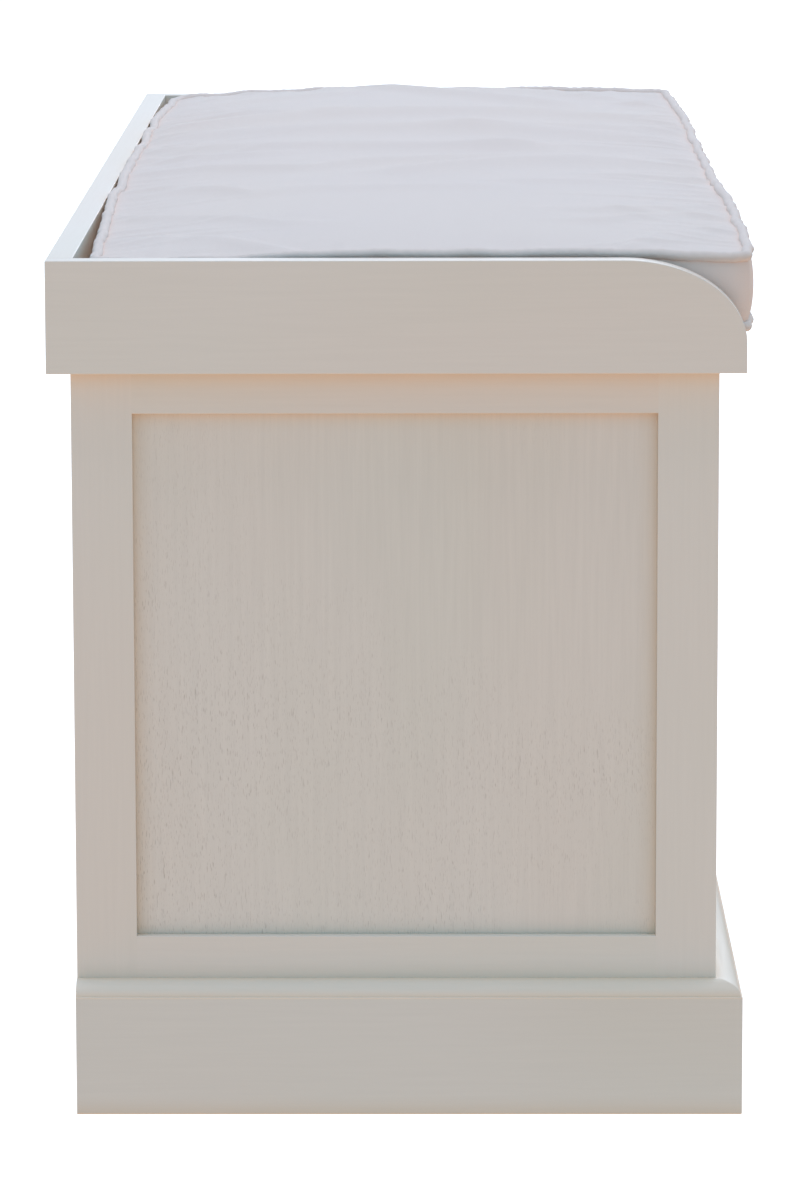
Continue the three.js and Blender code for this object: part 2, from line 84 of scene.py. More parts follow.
class CushionSettings(bpy.types.PropertyGroup):
    colour: FloatVectorProperty(
        name="Cloth", description="Colour of the cover", subtype="COLOR", size=3,
        default=(0.87, 0.82, 0.79), min=0, max=1,
    )
    piping: FloatProperty(
        name="Piping radius", description="Radius of the covered cord", default=0.0033,
        min=0.002, max=0.008, unit="LENGTH",
    )
    crown: FloatProperty(
        name="Crown", description="Rise of the top between its seams", default=0.0016,
        min=0, max=0.02, unit="LENGTH",
    )
    folds: FloatProperty(
        name="Folds", description="How deep the loose cloth folds", default=2.3, min=0, max=4,
    )
    slack: FloatProperty(
        name="Slack", description="Extra cloth along the top, as a share", default=0.022,
        min=0, max=0.1,
    )
    grid: FloatProperty(
        name="Grid", description="Size of a face of the cover before it is smoothed",
        default=0.0052, min=0.003, max=0.02, unit="LENGTH",
    )


class StageSettings(bpy.types.PropertyGroup):
    room: FloatVectorProperty(
        name="Room", description="Light from all round", subtype="COLOR", size=3,
        default=(0.339, 0.516, 0.634), min=0, max=2,
    )
    floor: FloatVectorProperty(
        name="Floor", description="Light that the floor gives back", subtype="COLOR", size=3,
        default=(0.837, 0.590, 0.444), min=0, max=2,
    )
    overhead: FloatVectorProperty(
        name="Overhead", description="Light from above", subtype="COLOR", size=3,
        default=(0.278, 0.191, 0.175), min=0, max=10,
    )
    window: FloatVectorProperty(
        name="Window", description="Light from beyond the right end", subtype="COLOR", size=3,
        default=(0.182, 0.190, 0.210), min=0, max=10,
    )


class BenchSettings(bpy.types.PropertyGroup):
    paint: PointerProperty(type=PaintSettings)
    cushion: PointerProperty(type=CushionSettings)
    stage: PointerProperty(type=StageSettings)


# ---- Modelling by hand ----
SAME_PLACE = 2e-6  # metres between corners that are one
ON_PLANE = 5e-6  # metres from a cut within which a corner counts as on it
ON_WALL = 1e-5  # metres from the side of its box within which an edge counts as outer
ON_JOINT = 4e-4  # metres from a joint's plane within which an edge is left sharp
SHARP = math.radians(35)  # angle from which an edge is rounded


def settings():
    return bpy.context.scene.storage_bench


def leave_edit():
    if bpy.context.object and bpy.context.object.mode != "OBJECT":
        bpy.ops.object.mode_set(mode="OBJECT")


def only(piece):
    """Makes piece the one selected and active object."""
    only_none()
    piece.select_set(True)
    bpy.context.view_layer.objects.active = piece
    return piece


def named(name):
    piece = bpy.context.object
    piece.name = piece.data.name = name
    return piece


def pick(piece, kind, test):
    """In edit mode, selects the faces, edges or vertices of piece that pass a test."""
    only(piece)
    bpy.ops.object.mode_set(mode="EDIT")
    bpy.ops.mesh.select_mode(type=kind)
    bpy.ops.mesh.select_all(action="DESELECT")
    mesh = bmesh.from_edit_mesh(piece.data)
    items = {"FACE": mesh.faces, "EDGE": mesh.edges, "VERT": mesh.verts}[kind]
    for item in items:
        item.select_set(bool(test(item)))
    mesh.select_flush_mode()
    bmesh.update_edit_mesh(piece.data)


def middle_of(item):
    """Middle of an edge or a face."""
    return sum((v.co for v in item.verts), Vector()) / len(item.verts)


def only_none():
    leave_edit()
    bpy.ops.object.select_all(action="DESELECT")


def block(name, low, high):
    """A plain block between two corners."""
    only_none()
    low, high = Vector(low), Vector(high)
    bpy.ops.mesh.primitive_cube_add(size=1, location=(low + high) / 2)
    piece = named(name)
    piece.scale = high - low
    bpy.ops.object.transform_apply(location=True, rotation=True, scale=True)
    return piece


def copy_of(node, name=None):
    """A clean copy of a CAD node to work on: its triangles merged into whole faces."""
    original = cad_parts[node]
    piece = bpy.data.objects.new(name or node + "_finished", original.data.copy())
    bpy.context.scene.collection.objects.link(piece)
    piece.data.name = piece.name
    piece.data.materials.clear()
    only(piece)
    bpy.ops.object.mode_set(mode="EDIT")
    bpy.ops.mesh.select_all(action="SELECT")
    bpy.ops.mesh.remove_doubles(threshold=SAME_PLACE)
    bpy.ops.mesh.dissolve_limited(angle_limit=math.radians(0.5))
    leave_edit()
    return piece


def slide_faces(piece, test, offset):
    """Moves the faces that pass a test by an offset, with what is joined to them."""
    pick(piece, "FACE", test)
    bpy.ops.transform.translate(value=offset)
    leave_edit()


def cut_away(piece, place, normal):
    """Cuts piece by a plane, drops what lies on the side that normal points to and closes it."""
    pick(piece, "FACE", lambda face: True)
    bpy.ops.mesh.bisect(
        plane_co=place, plane_no=normal, use_fill=True, clear_outer=True, threshold=ON_PLANE,
    )
    leave_edit()


def ease_edges(piece, size, joints=()):
    """Rounds the sharp outer edges of piece. Edges in a joint's plane, given as (axis, place),
    stay sharp, so that the joint closes, and edges inside the piece's own box stay as cut."""
    corners = np.array([v.co for v in piece.data.vertices])
    low, high = corners.min(0), corners.max(0)

    def lies(edge, axis, place, reach):
        return all(abs(v.co[axis] - place) < reach for v in edge.verts)

    mesh = bmesh.new()
    mesh.from_mesh(piece.data)
    weight = mesh.edges.layers.float.new("bevel_weight_edge")
    for edge in mesh.edges:
        if len(edge.link_faces) != 2 or edge.calc_face_angle(0) < SHARP:
            continue
        if any(lies(edge, axis, place, ON_JOINT) for axis, place in joints):
            continue
        outer = (
            lies(edge, axis, wall, ON_WALL)
            for axis in range(3) for wall in (low[axis], high[axis])
        )
        edge[weight] = float(any(outer))
    mesh.to_mesh(piece.data)
    mesh.free()
    only(piece)
    bevel = piece.modifiers.new("Eased edges", "BEVEL")
    bevel.width = size
    bevel.segments = 3
    bevel.limit_method = "WEIGHT"
    bpy.ops.object.modifier_apply(modifier=bevel.name)
    smooth(piece)
    return piece


def smooth(piece, angle=40):
    """Shades piece smoothly across its roundings and keeps its large faces flat."""
    only(piece)
    bpy.ops.object.shade_smooth_by_angle(angle=math.radians(angle))
    normals = piece.modifiers.new("Flat faces", "WEIGHTED_NORMAL")
    normals.keep_sharp = True
    normals.weight = 80
    bpy.ops.object.modifier_apply(modifier=normals.name)


def finish_piece(piece, material, body, *nodes, slot=None):
    """Gives piece its material and body, and lets it stand for CAD nodes; its slot argument is not
    used.
    """
    leave_edit()
    piece.data.materials.clear()
    piece.data.materials.append(material)
    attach(piece, body)
    if nodes:
        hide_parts(*nodes)
    return piece


# ---- Materials ----
class Nodes:
    """A short way to write a material's node tree."""

    def __init__(self, name, roughness=0.5):
        self.material = bpy.data.materials.new(name)
        self.material.use_nodes = True
        self.tree = self.material.node_tree
        self.shader = self.tree.nodes["Principled BSDF"]
        self.shader.inputs["Roughness"].default_value = roughness

    def add(self, kind, **values):
        node = self.tree.nodes.new(kind)
        inputs = values.pop("inputs", {})
        for key, value in values.items():
            setattr(node, key, value)
        for key, value in inputs.items():
            self.set(node.inputs[key], value)
        return node

    def set(self, socket, value):
        if isinstance(value, bpy.types.NodeSocket):
            self.tree.links.new(value, socket)
        else:
            socket.default_value = value

    def place(self, scale=(1, 1, 1), rotation=(0, 0, 0), location=(0, 0, 0), uv=None):
        """Object coordinates, or a UV map's, stretched and turned."""
        if uv:
            source = self.add("ShaderNodeUVMap", uv_map=uv).outputs["UV"]
        else:
            source = self.add("ShaderNodeTexCoord").outputs["Object"]
        mapping = self.add("ShaderNodeMapping")
        self.set(mapping.inputs["Vector"], source)
        mapping.inputs["Scale"].default_value = scale
        mapping.inputs["Rotation"].default_value = rotation
        mapping.inputs["Location"].default_value = location
        return mapping.outputs["Vector"]

    def noise(self, vector, scale, detail=2.0, roughness=0.5, distortion=0.0):
        node = self.add(
            "ShaderNodeTexNoise",
            inputs={
                "Vector": vector, "Scale": scale, "Detail": detail, "Roughness": roughness,
                "Distortion": distortion,
            },
        )
        return node.outputs["Fac"]

    def band(self, value, low, high, to_low=0.0, to_high=1.0):
        """value from low to high brought to to_low to to_high, and held there."""
        node = self.add(
            "ShaderNodeMapRange",
            inputs={
                "Value": value, "From Min": low, "From Max": high, "To Min": to_low,
                "To Max": to_high,
            },
        )
        return node.outputs["Result"]

    def maths(self, kind, a, b=0.0):
        node = self.add("ShaderNodeMath", operation=kind)
        self.set(node.inputs[0], a)
        self.set(node.inputs[1], b)
        return node.outputs[0]

    def mix(self, factor, a, b, kind="MIX"):
        node = self.add("ShaderNodeMix", data_type="RGBA", blend_type=kind)
        self.set(node.inputs["Factor"], factor)
        for socket, value in (("A", a), ("B", b)):
            colour = [s for s in node.inputs if s.name == socket and s.type == "RGBA"][0]
            if not isinstance(value, bpy.types.NodeSocket):
                value = (*value[:3], 1)
            self.set(colour, value)
        return [s for s in node.outputs if s.type == "RGBA"][0]

    def recess(self, colour, reach, tint, strength):
        """Painted shade: darkens and warms colour in corners and along seams, where less light
        reaches and light bounces off the warm surfaces.
        """
        node = self.add("ShaderNodeAmbientOcclusion", samples=6, inputs={"Distance": reach})
        painted_shade = self.band(node.outputs["AO"], 0.35, 0.95, strength, 0.0)
        return self.tinted(painted_shade, colour, tint)

    def tinted(self, factor, colour, tint):
        """colour, multiplied by tint as far as factor says."""
        return self.mix(factor, colour, self.mix(1.0, colour, tint, "MULTIPLY"))

    def bump(self, height, distance, strength):
        node = self.add(
            "ShaderNodeBump",
            inputs={"Height": height, "Distance": distance, "Strength": strength},
        )
        return node.outputs["Normal"]

    def finish(self, colour, normal=None, roughness=None):
        for name, value in (("Base Color", colour), ("Normal", normal), ("Roughness", roughness)):
            if value is not None:
                self.set(self.shader.inputs[name], value)
        return self.material


def shade(colour, factor, tint=(1, 1, 1)):
    """colour made darker or lighter, and tinted."""
    return tuple(min(1.0, c * factor * t) for c, t in zip(colour, tint))


def along(axis, stretch):
    """Mapping scale that draws a pattern out along an axis."""
    return tuple(stretch if "XYZ"[i] == axis else 1.0 for i in range(3))


# Tints multiplied over the paint's colour: of the paint itself, and of painted shade and light
# where noted.
PINK, GREEN = (1.0, 0.978, 0.966), (0.972, 0.985, 0.972)  # of its broad clouds
PORE_TINT = (0.64, 0.61, 0.59)
# Painted shade on the plinth's face near the floor, and painted warm light on the mould's top.
PLINTH_SHADE_TINT, MOULD_LIGHT_TINT = (0.93, 0.965, 0.98), (1.06, 0.985, 0.91)
CORNER_SHADE_TINT = (0.93, 0.80, 0.66)  # painted warm shade in corners
MOULD_FROM = 0.069  # height from which the plinth has the mould's painted warm light


def painted(name, axis, pores=0.0, seed=0.0, plinth=False):
    """Thin satin paint brushed along the grain, with the wood's grain and open pores below."""
    paint = settings().paint
    colour, strength = tuple(paint.colour), paint.grain * (1.0 if pores else 0.5)
    n = Nodes(name, roughness=0.48)
    lean = {"X": (0, 0.0, 0.05), "Y": (0.03, 0, 0.02), "Z": (0.05, 0.05, 0)}[axis]
    vector = n.place(scale=along(axis, 0.035), rotation=lean, location=(seed, seed * 0.7, seed))
    wide = n.place(scale=along(axis, 0.4), location=(seed, 0.3, seed * 0.4))
    streaks = n.noise(vector, 420, detail=4.0, roughness=0.6)
    brush = n.noise(vector, 1500, detail=2.0)
    cloud = n.noise(wide, 9, detail=2.0)
    warm = n.noise(wide, 5.5, detail=1.0, distortion=0.4)
    base = n.mix(
        n.band(streaks, 0.35, 0.7), shade(colour, 1 - 0.04 * strength), shade(colour, 1.0)
    )
    base = n.tinted(n.band(warm, 0.38, 0.62), base, PINK)
    base = n.tinted(n.band(cloud, 0.45, 0.7, 0, 0.9), base, GREEN)
    height = n.maths("ADD", n.maths("MULTIPLY", streaks, 0.6), n.maths("MULTIPLY", brush, 0.25))
    if pores:
        open_pores = pore_mask(n, axis, seed)
        base = n.tinted(n.maths("MULTIPLY", open_pores, pores), base, PORE_TINT)
        height = n.maths("SUBTRACT", height, n.maths("MULTIPLY", open_pores, 0.8))
    # Painted shade and light: the plinth's face darker and cooler near the floor, the mould's top
    # warmer.
    if plinth:
        parts = n.add("ShaderNodeSeparateXYZ", inputs={"Vector": n.place()})
        mould = n.band(parts.outputs["Z"], MOULD_FROM - 0.0002, MOULD_FROM + 0.0002)
        base = n.mix(1.0, base, n.mix(mould, PLINTH_SHADE_TINT, MOULD_LIGHT_TINT), "MULTIPLY")
    # Painted shade: darker, warmer paint in corners and recesses, from an ambient occlusion mask.
    base = n.recess(base, 0.012, CORNER_SHADE_TINT, 0.75)
    normal = n.bump(height, 0.00012, strength=0.5 * strength)
    rough = n.band(streaks, 0.3, 0.7, 0.54, 0.44)
    n.shader.inputs["Specular IOR Level"].default_value = 0.42
    return n.finish(base, normal, rough)


def pore_mask(n, axis, seed):
    """Open pores that the paint has not filled: short fine dashes along the grain, close
    together low down towards the back and scattered elsewhere."""
    fibre = n.place(scale=along(axis, 0.11), rotation=(-0.16, 0.16, 0), location=(seed, 0, 0))
    fine = n.band(n.noise(fibre, 2300, detail=1.0, roughness=0.4), 0.62, 0.74)
    coarse = n.band(n.noise(fibre, 1500, detail=1.0, roughness=0.4), 0.675, 0.77)
    parts = n.add("ShaderNodeSeparateXYZ", inputs={"Vector": n.place()})
    low = n.band(parts.outputs["Z"], 0.16, 0.36, 0.55, 0.0)
    back = n.band(parts.outputs["Y"], -0.06, 0.14, 0.0, 0.5)
    loose = n.noise(n.place(location=(0.2, seed, 0.4)), 9, detail=2.5)
    patch = n.maths("ADD", n.maths("ADD", low, back), n.band(loose, 0.3, 0.7, -0.45, 0.45))
    patch = n.band(patch, 0.2, 0.9, 0.06, 1.0)
    return n.maths("MULTIPLY", n.maths("MAXIMUM", fine, coarse), patch)


def bare_wood(name, axis, colour=(0.72, 0.56, 0.37), seed=0.0):
    """Unpainted softwood: soft early and darker late growth, fine fibres."""
    n = Nodes(name, roughness=0.7)
    drawn = n.place(scale=along(axis, 0.06), location=(seed, seed * 1.3, seed * 0.6))
    rings = n.add(
        "ShaderNodeTexWave", wave_type="RINGS", rings_direction=axis,
        inputs={
            "Vector": drawn, "Scale": 44.0, "Distortion": 5.5, "Detail": 2.0,
            "Detail Scale": 1.4,
        },
    ).outputs["Fac"]
    fibres = n.noise(drawn, 900, detail=3.0)
    cloud = n.noise(n.place(scale=along(axis, 0.3)), 14, detail=2.0)
    base = n.mix(n.band(rings, 0.45, 0.95), colour, shade(colour, 0.88, (1.0, 0.95, 0.87)))
    base = n.mix(n.band(fibres, 0.4, 0.7, 0, 0.3), base, shade(colour, 0.8))
    base = n.mix(n.band(cloud, 0.4, 0.7, 0, 0.3), base, shade(colour, 1.12))
    height = n.maths("ADD", n.maths("MULTIPLY", rings, 0.4), fibres)
    return n.finish(base, n.bump(height, 0.0001, 0.6), n.band(fibres, 0.3, 0.7, 0.78, 0.6))


def zinc(name):
    """Bright zinc, turned and a little uneven."""
    n = Nodes(name, roughness=0.35)
    turned = n.noise(n.place(scale=(1, 1, 6)), 1400, detail=2.0)
    cloud = n.noise(n.place(), 300, detail=2.0)
    n.shader.inputs["Metallic"].default_value = 1.0
    base = n.mix(n.band(cloud, 0.4, 0.65), (0.62, 0.63, 0.66), (0.72, 0.72, 0.70))
    return n.finish(base, n.bump(turned, 0.00003, 0.5), n.band(cloud, 0.3, 0.7, 0.28, 0.45))


BOXING_LIGHT_TINT = (1.07, 1.0, 0.965)  # painted warm light on the cushion's sides, against its top
SEAM_SHADE_TINT = (1.0, 0.80, 0.68)  # painted warm shade where cloth meets cloth or wood
TWO_THREADS = 0.00062  # width of two neighbouring threads of the weave


def cloth(name, uv="weave"):
    """Plain woven cotton: single threads over and under, with thicker slubs here and there."""
    colour = tuple(settings().cushion.colour)
    n = Nodes(name, roughness=0.9)
    pitch = 2 * math.pi / TWO_THREADS
    vector = n.place(uv=uv)
    wobble = n.noise(n.place(uv=uv), 160, detail=2.0)
    parts = n.add("ShaderNodeSeparateXYZ", inputs={"Vector": vector})
    waves = []
    for i, socket in enumerate(("X", "Y")):
        shifted = n.maths("ADD", parts.outputs[socket], n.maths("MULTIPLY", wobble, 0.0006))
        waves.append(n.maths("SINE", n.maths("MULTIPLY", shifted, pitch)))
    weave = n.band(n.maths("MULTIPLY", waves[0], waves[1]), -1, 1)
    warp = n.noise(n.place(scale=(1, 0.03, 1), uv=uv), 1100, detail=2.0)
    weft = n.noise(n.place(scale=(0.03, 1, 1), uv=uv), 1100, detail=2.0)
    slubs = n.maths("MAXIMUM", n.band(warp, 0.62, 0.8), n.band(weft, 0.62, 0.8))
    cloud = n.noise(n.place(), 7, detail=2.0)
    base = n.mix(weave, shade(colour, 0.90), colour)
    base = n.mix(n.maths("MULTIPLY", slubs, 0.35), base, shade(colour, 1.06))
    base = n.tinted(n.band(cloud, 0.35, 0.7, 0, 0.6), base, (0.975, 0.98, 1))
    boxing = n.add("ShaderNodeAttribute", attribute_name="boxing").outputs["Fac"]
    # Painted light: the sides of the cover are tinted warmer than the top, as if lit by warm light
    # from the floor.
    base = n.tinted(boxing, base, BOXING_LIGHT_TINT)
    # Painted shade: darker, warmer cloth along the seams and against the rim, from an ambient
    # occlusion mask.
    base = n.recess(base, 0.005, SEAM_SHADE_TINT, 0.35)
    height = n.maths("ADD", weave, n.maths("MULTIPLY", slubs, 0.6))
    n.shader.inputs["Sheen Weight"].default_value = 0.25
    n.shader.inputs["Sheen Roughness"].default_value = 0.5
    n.shader.inputs["Specular IOR Level"].default_value = 0.2
    return n.finish(base, n.bump(height, 0.00012, 0.7))


_materials = {}


def material(kind, *values, **named_values):
    """Makes each material once."""
    key = (kind.__name__, values, tuple(sorted(named_values.items())))
    if key not in _materials:
        words = [kind.__name__, *[str(v).lower() for v in values]]
        words += [f"{k}{v}" for k, v in sorted(named_values.items())]
        _materials[key] = kind("_".join(words).replace(".", ""), *values, **named_values)
    return _materials[key]


# ---- Rim and seat board ----
RIM_CURVE = (0.070, 0.048)  # run along the top and drop down the front, of the front corner


class RimOperator(bpy.types.Operator):
    """Raised rim: two end boards with an elliptical front corner, and a back board"""

    bl_idname = "bench.rim"
    bl_label = "Rim"

    def execute(self, context):
        paint = settings().paint
        for side in SIDES:
            board = self.end_board(side, paint)
            finish_piece(board, material(painted, "Y", seed=0.3), "chest", f"{side}_rim_board")
        low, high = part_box("back_rim_board")
        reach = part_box("right_rim_board")[0].x - paint.joint
        board = block("back_rim_finished", (-reach, low.y, low.z), (reach, high.y, high.z))
        ease_edges(board, paint.eased, joints=[(0, -reach), (0, reach)])
        finish_piece(board, material(painted, "X", seed=0.7), "chest", "back_rim_board")
        return {"FINISHED"}

    def end_board(self, side, paint):
        low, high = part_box(f"{side}_rim_board")
        run, drop = RIM_CURVE
        board = block(f"{side}_rim_finished", low, high)
        self.stretch(board, drop / run)
        front = low.y * drop / run
        pick(board, "EDGE", lambda e: all(
            abs(v.co.y - front) < SAME_PLACE and abs(v.co.z - high.z) < SAME_PLACE for v in e.verts
        ))
        bpy.ops.mesh.bevel(offset_type="OFFSET", offset=drop, segments=40, profile=0.5)
        leave_edit()
        self.stretch(board, run / drop)
        return ease_edges(board, paint.eased)

    def stretch(self, board, factor):
        """Scales board along its depth, so that a round bevel can become an ellipse."""
        only(board)
        board.scale.y = factor
        bpy.ops.object.transform_apply(scale=True)


class SeatBoardOperator(bpy.types.Operator):
    """Seat board with a rounded front edge, inside the rim"""

    bl_idname = "bench.seat_board"
    bl_label = "Seat board"

    def execute(self, context):
        board = copy_of("seat_board")
        ease_edges(board, settings().paint.eased * 0.6)
        finish_piece(board, material(painted, "X", seed=1.1), "chest", "seat_board")
        return {"FINISHED"}


# ---- Chest ----
class EndFramesOperator(bpy.types.Operator):
    """End frames: stiles, rails and a flat panel in grooves, glued and painted over"""

    bl_idname = "bench.end_frames"
    bl_label = "End frames"

    def execute(self, context):
        paint = settings().paint
        for side in SIDES:
            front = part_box(f"{side}_end_front_stile")[1].y
            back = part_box(f"{side}_end_back_stile")[0].y
            for stile, seed, place in (("front_stile", 0.0, front), ("back_stile", 2.0, back)):
                node = f"{side}_end_{stile}"
                piece = ease_edges(copy_of(node), paint.eased, joints=[(1, place)])
                finish_piece(piece, material(painted, "Z", seed=seed), "chest", node)
            for rail, seed in (("top_rail", 0.5), ("bottom_rail", 1.5)):
                node = f"{side}_end_{rail}"
                piece = self.rail(node, front, back, paint)
                finish_piece(piece, material(painted, "Y", seed=seed), "chest", node)
            node = f"{side}_end_panel"
            panel = ease_edges(copy_of(node), paint.eased)
            finish_piece(panel, material(painted, "Z", pores=0.6, seed=1.0), "chest", node)
        return {"FINISHED"}

    SHOULDER_GAP = 0.0003  # that the frame leaves between a rail and a stile

    def rail(self, node, front, back, paint):
        """A rail whose shoulders are drawn up tight against the stiles."""
        rail = copy_of(node)
        for place, outwards in ((front, -1), (back, 1)):
            shoulder = place - outwards * self.SHOULDER_GAP
            move = place - outwards * paint.joint - shoulder
            slide_faces(
                rail,
                lambda f: abs(f.normal.y) > 0.9 and abs(middle_of(f).y - shoulder) < 5e-5,
                (0, move, 0),
            )
        return ease_edges(
            rail, paint.eased, joints=[(1, front + paint.joint), (1, back - paint.joint)]
        )


class FrontAndBackOperator(bpy.types.Operator):
    """Front and back rails, the dividers between the drawers and the back panel"""

    bl_idname = "bench.front_and_back"
    bl_label = "Front and back"

    PIECES = (
        ("front_top_rail", "X"),
        ("front_bottom_rail", "X"),
        ("back_top_rail", "X"),
        ("back_bottom_rail", "X"),
        ("back_panel", "X"),
        ("left_divider", "Z"),
        ("right_divider", "Z"),
    )

    def execute(self, context):
        for i, (node, axis) in enumerate(self.PIECES):
            piece = ease_edges(copy_of(node), settings().paint.eased * 0.7)
            finish_piece(piece, material(painted, axis, seed=0.4 + i % 3), "chest", node)
        return {"FINISHED"}


class PlinthOperator(bpy.types.Operator):
    """Plinth: moulded boards along the front and the ends, mitred at the front corners"""

    bl_idname = "bench.plinth"
    bl_label = "Plinth"

    def execute(self, context):
        for node, axis in (
            ("front_plinth_board", "X"),
            ("left_plinth_board", "Y"),
            ("right_plinth_board", "Y"),
        ):
            piece = self.moulded(node, axis)
            finish_piece(piece, material(painted, axis, seed=1.7, plinth=True), "chest", node)
        return {"FINISHED"}

    MOULD, LEDGE, STEP = 0.008, 0.0015, 0.0009  # height of the mould, strip above, step below
    FOOT, ARRIS = 0.0006, 0.0004  # edges taken off at the floor and under the mould
    OVERRUN = 0.03  # of the drawn board past its ends, before it is cut
    MITRE_GAP = 0.00004

    def section(self, thick, height):
        """Outline of the board: distance out from the chest, and height."""
        line = height - self.MOULD
        reach = thick - self.STEP - self.LEDGE
        curve = [
            (self.LEDGE + reach * math.cos(a), line + self.MOULD * math.sin(a))
            for a in np.linspace(0, math.pi / 2, 15)
        ]
        return [
            (0.0, 0.0), (thick - self.FOOT, 0.0), (thick, self.FOOT), (thick, line - self.ARRIS),
            (thick - self.ARRIS, line), *curve, (0.0, height),
        ]

    def moulded(self, node, axis):
        """The section drawn along a board's length and cut to its mitres."""
        low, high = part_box(node)
        face_y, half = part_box("left_end_front_stile")[0].y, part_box("right_end_front_stile")[1].x
        side = -1 if node.startswith("left") else 1
        thick = face_y - low.y if axis == "X" else high.x - half if side > 0 else -half - low.x
        outline = self.section(thick, high.z)
        only_none()
        bpy.ops.mesh.primitive_circle_add(vertices=len(outline), radius=0.01, fill_type="NGON")
        piece = named(node + "_finished")
        for vertex, (out, up) in zip(piece.data.vertices, outline):
            if axis == "X":
                vertex.co = (low.x - self.OVERRUN, face_y - out, up)
            else:
                vertex.co = (side * (half + out), low.y - self.OVERRUN, up)
        only(piece)
        bpy.ops.object.mode_set(mode="EDIT")
        bpy.ops.mesh.select_all(action="SELECT")
        if axis == "X":
            length = (high.x - low.x + 2 * self.OVERRUN, 0, 0)
        else:
            length = (0, high.y - low.y + self.OVERRUN, 0)
        bpy.ops.mesh.extrude_region_move(TRANSFORM_OT_translate={"value": length})
        bpy.ops.mesh.select_all(action="SELECT")
        bpy.ops.mesh.normals_make_consistent(inside=False)
        leave_edit()
        if axis == "X":
            for end in (1, -1):
                inset = self.MITRE_GAP
                cut_away(piece, (end * (half - inset), face_y - inset, 0), (end, 1, 0))
        else:
            cut_away(piece, (side * half, face_y, 0), (-side, -1, 0))
        smooth(piece, angle=35)
        return piece


# ---- Drawers ----
class DrawersOperator(bpy.types.Operator):
    """Three drawers: framed fronts with a sunk panel and a finger notch, on bare wood boxes"""

    bl_idname = "bench.drawers"
    bl_label = "Drawers"

    BORDER = 0.035  # width of a front's stiles and rails
    BOARD_EASED = 0.0006  # radius of the edges of the bare boards

    def execute(self, context):
        for i, name in enumerate(DRAWERS):
            body = f"{name}_drawer"
            self.front(name, body, i)
            for part, axis in (
                ("left_side", "Y"), ("right_side", "Y"), ("back", "X"), ("bottom", "Y"),
            ):
                node = f"{name}_drawer_{part}"
                piece = ease_edges(copy_of(node), self.BOARD_EASED)
                wood = material(bare_wood, axis, seed=0.3 * i + len(part) * 0.1)
                finish_piece(piece, wood, body, node, slot="bare_wood")
        return {"FINISHED"}

    def front(self, name, body, i):
        node = f"{name}_drawer_front"
        low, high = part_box(node)
        joint = settings().paint.joint
        left, right = low.x + self.BORDER, high.x - self.BORDER
        bottom, top = low.z + self.BORDER, high.z - self.BORDER
        # The cuts lie just past the walls of the sunk middle, which so stay with the frame.
        joined = 2 * joint
        beside = [((left + joined, 0, 0), (-1, 0, 0)), ((right - joined, 0, 0), (1, 0, 0))]
        parts = {
            "left_stile": ("Z", [((left + joint, 0, 0), (1, 0, 0))]),
            "right_stile": ("Z", [((right - joint, 0, 0), (-1, 0, 0))]),
            "top_rail": ("X", [*beside, ((0, 0, top - joint), (0, 0, -1))]),
            "bottom_rail": ("X", [*beside, ((0, 0, bottom + joint), (0, 0, 1))]),
            "panel": ("Z", [
                *beside, ((0, 0, bottom + joined), (0, 0, -1)), ((0, 0, top - joined), (0, 0, 1)),
            ]),
        }
        for part, (axis, cuts) in parts.items():
            piece = copy_of(node, f"{name}_drawer_front_{part}")
            for place, normal in cuts:
                cut_away(piece, place, normal)
            joints = [(0, left), (0, right)] if "rail" in part else []
            if part == "panel":
                smooth(piece)
            else:
                ease_edges(piece, settings().paint.eased, joints=joints)
            pores = 0.5 if part == "panel" else 0.0
            paint = material(painted, axis, pores=pores, seed=0.2 + i)
            finish_piece(piece, paint, body, node)


class InnerPartsOperator(bpy.types.Operator):
    """Runners, stops, floor board, corner blocks and screws, which keep the frame's own shapes"""

    bl_idname = "bench.inner_parts"
    bl_label = "Inner parts"

    def execute(self, context):
        for i, name in enumerate(sorted(BARE_NODES)):
            axis = "Y" if "runner" in name else "X"
            self.give(name, material(bare_wood, axis, seed=0.2 * (i % 4)))
        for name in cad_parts:
            if name.endswith("screw"):
                self.give(name, material(zinc))
        return {"FINISHED"}

    def give(self, name, wanted):
        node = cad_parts[name]
        node.data.materials.clear()
        node.data.materials.append(wanted)


# ---- Cushion ----
# Outer edge of the piping along the back and the front, as (x, y), and the height of the piping's
# top along the back and the front, as (x, z), and along each end, as (y, z): where the loose cover
# settles against the rim and hangs over at the front.
BACK_EDGE = (
    (-0.531, 0.1762), (-0.49, 0.1776), (-0.42, 0.1796), (-0.35, 0.1812), (-0.30, 0.1826),
    (-0.25, 0.1838), (-0.21, 0.1847), (-0.165, 0.1838), (-0.11, 0.1838), (-0.08, 0.1847),
    (0.0, 0.1848), (0.09, 0.1847), (0.12, 0.1838), (0.17, 0.1836), (0.195, 0.1847),
    (0.22, 0.1847), (0.245, 0.1837), (0.275, 0.1837), (0.30, 0.1847), (0.352, 0.1844),
    (0.42, 0.1826), (0.50, 0.1812), (0.531, 0.1778),
)
FRONT_EDGE = (
    (-0.531, -0.2042), (-0.47, -0.2067), (-0.36, -0.2068), (-0.245, -0.2072), (-0.18, -0.2048),
    (-0.123, -0.2035), (0.0, -0.2032), (0.15, -0.2028), (0.30, -0.2031), (0.46, -0.2002),
    (0.531, -0.1975),
)
